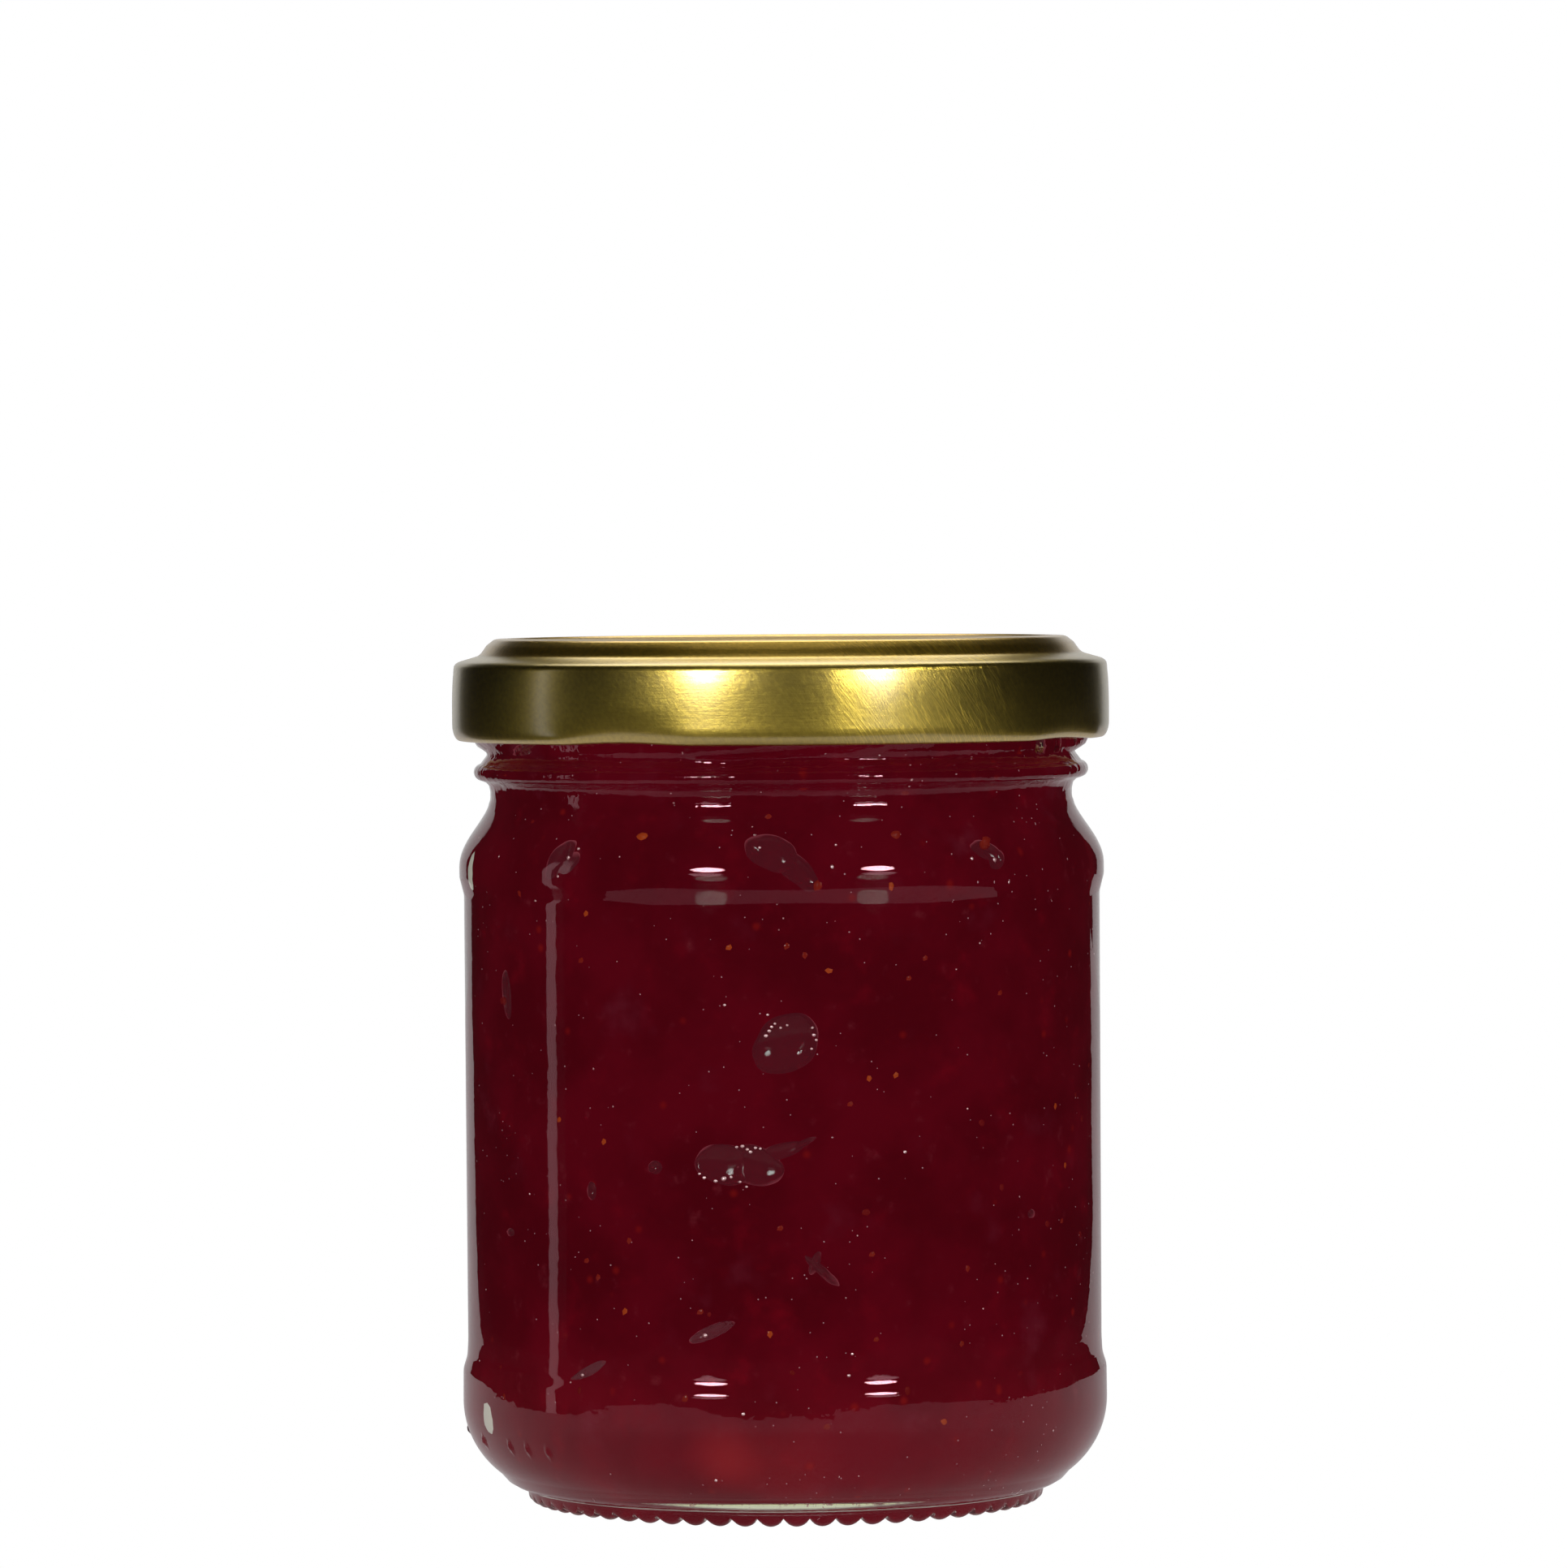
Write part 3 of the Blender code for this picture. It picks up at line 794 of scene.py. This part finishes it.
# Two bubbles at the jar's left edge, whose pale look is a painted reflection.
PAINTED_REFLECTION_BUBBLES = ((601, 1736, 4.2, 82), (580, 1078, 3.4, 84))


def placed_grains(name, spots, finish, grow=1.0, proud=0.06):
    """One mesh of grains lying against the wall where they show in the frame."""
    build = bmesh.new()
    grain = grain_mesh("grain", 1, GRAIN_WIDTH / GRAIN_LENGTH, GRAIN_THICKNESS / GRAIN_LENGTH)
    for x, y, length, *tilt in spots:
        length *= grow
        sunk = JAM_OVERLAP + proud - length * GRAIN_THICKNESS / GRAIN_LENGTH / 2
        place = behind_glass(x, y)
        out, turn = lying(place, tilt[0] if tilt else 0)
        copy = grain.copy()
        copy.transform(Matrix.Translation((place + out * sunk) * MM) @ turn @ Matrix.Scale(length, 4))
        build.from_mesh(copy)
        bpy.data.meshes.remove(copy)
    bpy.data.meshes.remove(grain)
    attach(add_piece(name, smooth_mesh(name, build), finish), "root")


placed_grains("seeds_tan", TAN_SEEDS, seed_tan, 1.2)
placed_grains("seeds_red", RED_SEEDS, seed_red, 1.25)
placed_grains("bubbles_seen", BUBBLES, gas_bubble)
placed_grains("wall_bubbles", PAINTED_REFLECTION_BUBBLES, painted_reflection_bubble, 1.0, 0.25)


# %% Scattering by Geometry Nodes
def scatter_group():
    """Grains scattered over the jam's skin, away from its air pockets."""
    group, given, out = new_group("scatter_grains", "GeometryNodeTree", [
        ("Geometry", "Geometry"), ("Grain", "Object"), ("Density", "Float", 20000.0), ("Seed", "Int", 1),
        ("Smallest", "Float", 0.5), ("Largest", "Float", 1.0), ("Sunk", "Float", 0.0001),
        ("Finish", "Material")], ("Geometry", "Geometry"))

    add = partial(add_node, group)
    part = add("GeometryNodeInputMaterialIndex")
    skin = add("FunctionNodeCompare", (2, part[0]), (3, 0), data_type="INT", operation="EQUAL")
    clump = add("ShaderNodeTexNoise", Scale=110.0, Detail=3.0)
    thick = ranged(group, clump[0], 0.42, 0.66, 0.05, 1.0)
    density = math_of(group, "MULTIPLY", given["Density"], thick)
    spread = add("GeometryNodeDistributePointsOnFaces", Mesh=given["Geometry"], Selection=skin[0], Density=density,
                 Seed=given["Seed"])
    turn = add("FunctionNodeRandomValue", (3, 6.283), Seed=given["Seed"])
    spin = add("ShaderNodeCombineXYZ", Z=turn[1])
    lay = add("FunctionNodeRotateRotation", rotation_space="LOCAL", Rotation=spread["Rotation"], Rotate_By=spin[0])
    size = add("FunctionNodeRandomValue", (2, given["Smallest"]), (3, given["Largest"]), Seed=given["Seed"])
    grain = add("GeometryNodeObjectInfo", Object=given["Grain"])["Geometry"]
    copies = add("GeometryNodeInstanceOnPoints", Points=spread["Points"], Instance=grain, Rotation=lay[0],
                 Scale=size[1])
    step = add("ShaderNodeCombineXYZ", Z=math_of(group, "MULTIPLY", given["Sunk"], -1.0))
    sunk = add("GeometryNodeTranslateInstances", Instances=copies[0], Translation=step[0], Local_Space=True)
    real = add("GeometryNodeRealizeInstances", Geometry=sunk[0])
    finish = add("GeometryNodeSetMaterial", Geometry=real[0], Material=given["Finish"])
    group.links.new(finish[0], out)
    return group


SCATTER = scatter_group()
print("group:", SCATTER.name)


# %% Scattered grains
def scattered(name, grain, **values):
    """A piece of grains scattered over jam_fill, as a plain mesh."""
    base = linked("scatter_base", jam_mesh.copy())
    made = base.modifiers.new("scatter", "NODES")
    made.node_group = SCATTER
    sockets = {item.name: item.identifier for item in SCATTER.interface.items_tree if item.in_out == "INPUT"}
    for key, value in dict(values, Grain=grain).items():
        made[sockets[key]] = value
    mesh = as_built(base)
    bpy.data.objects.remove(base)
    mesh.name = name
    mesh.shade_smooth()
    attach(add_piece(name, mesh), "root")


grain = linked("grain", grain_mesh("grain", GRAIN_LENGTH, GRAIN_WIDTH, GRAIN_THICKNESS))
bubble = linked("bubble", grain_mesh("bubble", 0.38, 0.32, 0.3))
scattered("seeds_dim", grain, Density=7000.0, Seed=7, Smallest=0.6, Largest=1.2, Sunk=0.00016, Finish=seed_dim)
scattered("gas_bubbles", bubble, Density=30000.0, Seed=3, Smallest=0.25, Largest=0.7, Sunk=0.00003, Finish=gas_bubble)
scattered("froth", bubble, Density=150000.0, Seed=11, Smallest=0.22, Largest=0.5, Sunk=0.00001, Finish=froth)
bpy.data.objects.remove(grain)
bpy.data.objects.remove(bubble)

# %% [markdown]
# ## The lid
#
# A twist-off lid is one pressed sheet: a flat panel with a low button, a raised channel over the
# rim, a sloping shoulder, an upright skirt and a rolled curl. Four lugs are pressed in from the
# curl to grip the thread. Outside, the lower edge lifts and tucks in over them: a smooth bump on
# the turned rings, as on the glass. The skirt isn't quite straight. It bends in gently towards the
# shoulder, where the lamps show.

# %% Lid sizes and outline
LID_RADIUS, LID_TOP = lid_high.x / MM, lid_high.z / MM
LID_THICKNESS = 0.4
PANEL_HEIGHT, PANEL_EDGE = 89.95, 25.6
BUTTON_RADIUS, BUTTON_DROP = 8.0, 0.25
CREST_INNER, CREST_OUTER = 28.7, 30.15
SLOPE = ((30.83, 90.04), (31.27, 89.42))
STEP = ((31.42, 89.22), (31.58, 89.07), (31.75, 88.95))
SHOULDER_LINE = ((32.1, 88.82), (33.55, 88.4))
CORNER = ((33.88, 88.27), (34.12, 88.1), (34.27, 87.88), (34.32, 87.55))
SKIRT_BEND, BEND_FOOT = (0.27, 4.2), 83.3
CURL_RADII = (0.8, 1.7)
CURL_CENTRE = (LID_RADIUS - CURL_RADII[0], lid_low.z / MM + 0.05 + CURL_RADII[1])
LUG_ANGLE, LUG_COUNT, LUG_WIDTH, LUG_LIFT, LUG_TUCK = 61.0, 4, 12.5, 0.22, 0.4
LUG_TOP, LUG_REACH = 84.2, 3.9


def lid_outline():
    """Over the top, down the skirt, round the curl and back inside to the axis."""
    low = PANEL_HEIGHT - BUTTON_DROP
    button = line((0, low), (BUTTON_RADIUS, low), 3)
    button += ease((BUTTON_RADIUS + 0.1, low), (BUTTON_RADIUS + 1.4, PANEL_HEIGHT), 4)[1:]
    panel = line((BUTTON_RADIUS + 2, PANEL_HEIGHT), (PANEL_EDGE, PANEL_HEIGHT), 4)
    rise = ease((CREST_INNER, LID_TOP - 0.03), (PANEL_EDGE + 0.4, PANEL_HEIGHT), 10)[::-1]
    crest = [(CREST_INNER + 0.3, LID_TOP)] + arc((CREST_OUTER - 0.5, LID_TOP - 0.9), (0.95, 0.9), 84, 42, 6)
    top = button + panel + rise + crest + line(*SLOPE, 2) + list(STEP) + line(*SHOULDER_LINE, 4)
    bend = arc((LID_RADIUS - SKIRT_BEND[0], BEND_FOOT), SKIRT_BEND, 62, 0, 10)
    skirt = line((LID_RADIUS, BEND_FOOT - 0.3), (LID_RADIUS, CURL_CENTRE[1] + 0.1), 6)
    curl = arc(CURL_CENTRE, CURL_RADII, 0, -220, 22)
    inner = [(LID_RADIUS - LID_THICKNESS - 0.1, z) for z in (83.0, 85.0)] + [(33.6, 87.3)]
    roof = [(max(0, r - LID_THICKNESS / 4), z - LID_THICKNESS) for r, z in top[::2]]
    return top + list(CORNER) + bend + skirt + curl + inner + roof[::-1]


def lid_relief(degrees, radius, height):
    """Lifts and tucks in the lower edge where the four lugs are pressed."""
    press = np.zeros_like(radius)
    for i in range(LUG_COUNT):
        away = turn_apart(degrees, LUG_ANGLE + 360 * i / LUG_COUNT) / LUG_WIDTH
        press = np.maximum(press, np.clip(1 - away ** 2, 0, 1) ** 1.5)
    low = np.clip((LUG_TOP - height) / LUG_REACH, 0, 1)
    low = low * low * (3 - 2 * low) * (radius > 30)
    return radius - LUG_TUCK * press * low, height + LUG_LIFT * press * low


lid_mesh = lathe("gold_lid", lid_outline(), even_turns(360), lid_relief)
print("lid is", round(np.ptp([v.co.z for v in lid_mesh.vertices]) / MM, 2), "mm tall")

# %% [markdown]
# The lid's finish is a clear lacquer on gold tinplate. The metal under it is satin, and rougher
# towards the curl, where the sheet was drawn most. Its colour is in the reflection. The raised ring
# is painted a lighter, richer gold, which makes up for the dark room that its outer slope reflects.
# The lacquer gives the lamps their white cores, and at a grazing angle it mirrors the white wall,
# which makes the lid's grey rims. Handling has left fine slanting marks right of the front. They
# are streaks laid flat on that side of the skirt.

# %% Lid material and piece
# The raised ring's gold is painted lighter and richer than the rest, as painted light.
LID_GOLD, LID_GOLD_DEEP, LID_RING_PAINTED_LIGHT = (0.64, 0.465, 0.068, 1), (0.575, 0.41, 0.048, 1), (0.8, 0.5, 0.05, 1)
RING_FOOT, SHOULDER_ZONE, DRAWN_ZONE = (0.0889, 0.0891), (0.0872, 0.0886), (0.0815, 0.0872)  # metres up the jar
LACQUER_IOR = (2.1, 1.45)  # on the skirt, on the top
METAL_ROUGHNESS = (0.36, 0.285)  # at the curl, at the corner
SCRATCH_BEARING, SCRATCH_SPREAD = 27.0, 20.0
BRUSHING = (0.0, 0.0, 3.0, 0.22, 0.35)  # bearing and slant in degrees, length and width in mm, cover
SCRATCHES = ((SCRATCH_BEARING, -52.0, 4.0, 0.14, 0.48), (SCRATCH_BEARING, -68.0, 3.0, 0.11, 0.5))


def scratch_mask(tree, place):
    """1 on the side of the lid that has been rubbed, little elsewhere."""
    bearing = radians(SCRATCH_BEARING)
    level = vector_of(tree, "NORMALIZE", vector_of(tree, "MULTIPLY", place, (1, 1, 0)))
    towards = vector_of(tree, "DOT_PRODUCT", level, (sin(bearing), -cos(bearing), 0))
    far, near = (cos(radians(SCRATCH_SPREAD * share)) for share in (1, 0.5))
    return ranged(tree, towards, far, near, 0.15, 1.0)


def streaks(tree, place, facing, turn, length, width, cover):
    """Streaks on the skirt at a bearing and slant. The turn lays an object's X along them."""
    facing, turn = radians(facing), radians(turn)
    out, side = Vector((sin(facing), -cos(facing), 0)), Vector((cos(facing), sin(facing), 0))
    up = Vector((0, 0, 1))
    along, across = side * cos(turn) + up * sin(turn), up * cos(turn) - side * sin(turn)
    turned = Matrix((along, across, out)).to_euler()
    laid = add_node(tree, "ShaderNodeMapping", Vector=place, Scale=[1 / MM] * 3, Rotation=turned)
    return from_group(tree, FINE_WEAR, laid[0], Length=length, Width=width, Cover=cover)


def lid_material():
    made, tree, shader = new_material(
        "gold_lacquered_tinplate", Metallic=1.0, Coat_Weight=1.0, Coat_Roughness=0.2,
        Anisotropic=0.15, Anisotropic_Rotation=0.25)
    op = partial(math_of, tree)
    place = object_place(tree)
    up = z_of(tree, place)
    brushed, first, second = (streaks(tree, place, *values) for values in (BRUSHING, *SCRATCHES))
    worn = op("MULTIPLY", op("ADD", first, second), scratch_mask(tree, place))
    marks = op("MULTIPLY_ADD", brushed, 0.35, worn)
    speckle = noise_of(tree, place, 2200.0)
    gold = from_group(tree, CLOUDY, place, Scale=60.0, Low=LID_GOLD_DEEP, High=LID_GOLD, From=0.3, To=0.7)
    # Painted light: a lighter, richer gold on the raised ring.
    gold = mixed(tree, ranged(tree, up, *RING_FOOT), gold, LID_RING_PAINTED_LIGHT)
    tone = op("MULTIPLY_ADD", speckle, 0.45, op("MULTIPLY_ADD", worn, 0.55, 0.72))
    toned = add_node(tree, "ShaderNodeVectorMath", (0, gold), operation="SCALE", Scale=tone)
    around = add_node(tree, "ShaderNodeTangent", direction_type="UV_MAP", uv_map="wrap")
    rough = op("MULTIPLY_ADD", marks, 0.06, ranged(tree, up, *DRAWN_ZONE, *METAL_ROUGHNESS))
    fill(tree, shader, Base_Color=toned[0], Roughness=rough, Tangent=around[0],
         Coat_IOR=ranged(tree, up, *SHOULDER_ZONE, *LACQUER_IOR),
         Normal=bumped(tree, 0.000015, op("MULTIPLY_ADD", speckle, 1.2, marks)))
    return made


lid = add_piece("gold_lid", lid_mesh, lid_material())
lid.visible_shadow = False
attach(lid, "root")
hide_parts("twist_lid")

# %% [markdown]
# ## Floor, backdrop and lamps
#
# Glass is drawn by what it reflects, so the room matters as much as the material. It is a plain
# dark studio with a white sheet under the jar and a white wall behind it. The wall's edges make
# the pale rims down both sides of the glass and the lid, and the sheet makes the haze over the
# heel. A shadow is painted on the sheet just in front of the jar, where the jar blocks the light.
# Two small softboxes stand beside the camera, each with a faint glow under it. A large soft one
# hangs behind and above, and a thin bright gap at the left draws the long upright line on the jar.

# %% Floor sheet
# The sheet's glow in reflections, dimmer at a painted shadow just in front of the jar.
PAINTED_SHADOW_GLOW, SHEET_GLOW = 0.27, 0.49
PAINTED_SHADOW_MIDDLE, PAINTED_SHADOW_REACH = (0, -0.05, 0), (0.02, 0.07)
SHEET = ((-146, -165), (-146, 100), (-160, 185), (-480, 900), (560, 900), (207, 314), (170, 178), (176, -165))
SHEET_DROP = 0.02


def floor_sheet():
    """A smooth white sheet: seen directly it is plain white, and in reflections it is softer, with a painted shadow
    just in front of the jar.
    """
    made, tree, shader = new_material("white_sheet")
    tree.nodes.remove(shader)
    away = vector_of(tree, "DISTANCE", object_place(tree), PAINTED_SHADOW_MIDDLE)
    # Painted shadow: the glow is dimmer near a point just in front of the jar.
    soft = ranged(tree, away, *PAINTED_SHADOW_REACH, PAINTED_SHADOW_GLOW, SHEET_GLOW)
    seen = add_node(tree, "ShaderNodeLightPath")["Is Camera Ray"]
    strength = math_of(tree, "MAXIMUM", soft, seen)
    light = add_node(tree, "ShaderNodeEmission", Color=(1, 0.95, 0.96, 1), Strength=strength)
    plain = add_node(tree, "ShaderNodeEmission", Color=(1, 1, 1, 1), Strength=1.0)
    show_mixed(tree, seen, light[0], plain[0])
    mesh = bpy.data.meshes.new("floor_sheet")
    mesh.from_pydata([(x * MM, y * MM, -SHEET_DROP * MM) for x, y in SHEET], [], [tuple(range(len(SHEET)))[::-1]])
    return add_piece("floor_sheet", mesh, made)


floor_sheet()

# %% Room and lamps
WALL_HALF_WIDTH, WALL_TOP = 0.49, 0.32  # as slopes, seen from the jar
WALL_GLOW, WALL_MIDDLE, ROOM_DARK = 0.49, 0.6, 0.007
GAP_ANGLE, GAP_HALF, GAP_GLOW = -92.0, 2.3, 1.1
LAMPS = (
    # bearing from the camera's side, height, half width, half height in degrees, radiance
    (-27.0, 17.0, 6.0, 6.0, 40.0), (35.0, 17.0, 6.0, 6.0, 40.0),
    (-27.0, 5.0, 6.0, 3.5, 3.0), (35.0, 5.0, 6.0, 3.5, 3.0),
)
OVERHEAD = ((52.0, 13.0, 24.0, 2.1), (88.0, 8.0, 26.0, 0.3))  # height, full to, ends at in degrees, radiance


def lamp_glow(tree, bearing, height, lamp):
    """An oval softbox with a soft edge, at a bearing and height."""
    op = partial(math_of, tree)
    at, up, half_width, half_height = map(radians, lamp[:4])
    wide = op("WRAP", op("SUBTRACT", bearing, at), pi, -pi)
    tall = op("SUBTRACT", height, up)
    pairs = (wide, half_width), (tall, half_height)
    wide, tall = (op("POWER", op("ABSOLUTE", op("DIVIDE", value, half)), 2.0) for value, half in pairs)
    inside = ranged(tree, op("ADD", wide, tall), 0.75, 1.25, 1.0, 0.0, smooth=True)
    return op("MULTIPLY", inside, lamp[4])


def studio_room():
    """The world: white to the camera, and in reflections a dark room with a wall and lamps."""
    world = bpy.data.worlds.new("studio")
    bpy.context.scene.world = world
    world.use_nodes = True
    tree = world.node_tree
    tree.nodes.clear()
    way = add_node(tree, "ShaderNodeTexCoord")["Generated"]
    x, y, z = add_node(tree, "ShaderNodeSeparateXYZ", Vector=way)
    op = partial(math_of, tree)

    def below(value, limit, blur):
        return ranged(tree, value, limit - blur, limit + blur, 1.0, 0.0, smooth=True)

    ahead = op("MAXIMUM", y, 0.001)
    side = op("ABSOLUTE", op("DIVIDE", x, ahead))
    wall = op("MULTIPLY", below(side, WALL_HALF_WIDTH, 0.012), below(op("DIVIDE", z, ahead), WALL_TOP, 0.1))
    middle = op("MULTIPLY_ADD", below(side, 0.28, 0.18), WALL_MIDDLE - WALL_GLOW, WALL_GLOW)
    wall = op("MULTIPLY", op("MULTIPLY", wall, op("GREATER_THAN", y, 0.001)), middle)
    bearing, height = op("ARCTAN2", x, op("MULTIPLY", y, -1.0)), op("ARCSINE", z)
    off_gap = op("ABSOLUTE", op("SUBTRACT", bearing, radians(GAP_ANGLE)))
    gap = op("MULTIPLY", below(off_gap, radians(GAP_HALF), 0.006), below(op("ABSOLUTE", z), 0.35, 0.05))
    glow = op("MAXIMUM", wall, op("MULTIPLY", gap, GAP_GLOW))
    for lamp in LAMPS:
        glow = op("MAXIMUM", glow, lamp_glow(tree, bearing, height, lamp))
    for *angles, radiance in OVERHEAD:
        up, full, end = map(radians, angles)
        towards = vector_of(tree, "DOT_PRODUCT", way, (0, cos(up), sin(up)))
        overhead = ranged(tree, towards, cos(end), cos(full), 0.0, radiance, smooth=True)
        glow = op("MAXIMUM", glow, overhead)
    seen = add_node(tree, "ShaderNodeLightPath")["Is Camera Ray"]
    shown = add_node(tree, "ShaderNodeMix", (0, seen), (2, op("MAXIMUM", glow, ROOM_DARK)), (3, 1.0))
    light = add_node(tree, "ShaderNodeBackground", Color=(1, 1, 1, 1), Strength=shown[0])
    add_node(tree, "ShaderNodeOutputWorld", Surface=light[0])
    print("the room has", len(LAMPS), "lamps in front and", len(OVERHEAD), "above")


studio_room()
scene = bpy.context.scene
scene.view_settings.view_transform = "Standard"
scene.cycles.use_denoising = True
scene.cycles.adaptive_threshold = 0.03
scene.cycles.max_bounces = scene.cycles.glossy_bounces = scene.cycles.transmission_bounces = 12
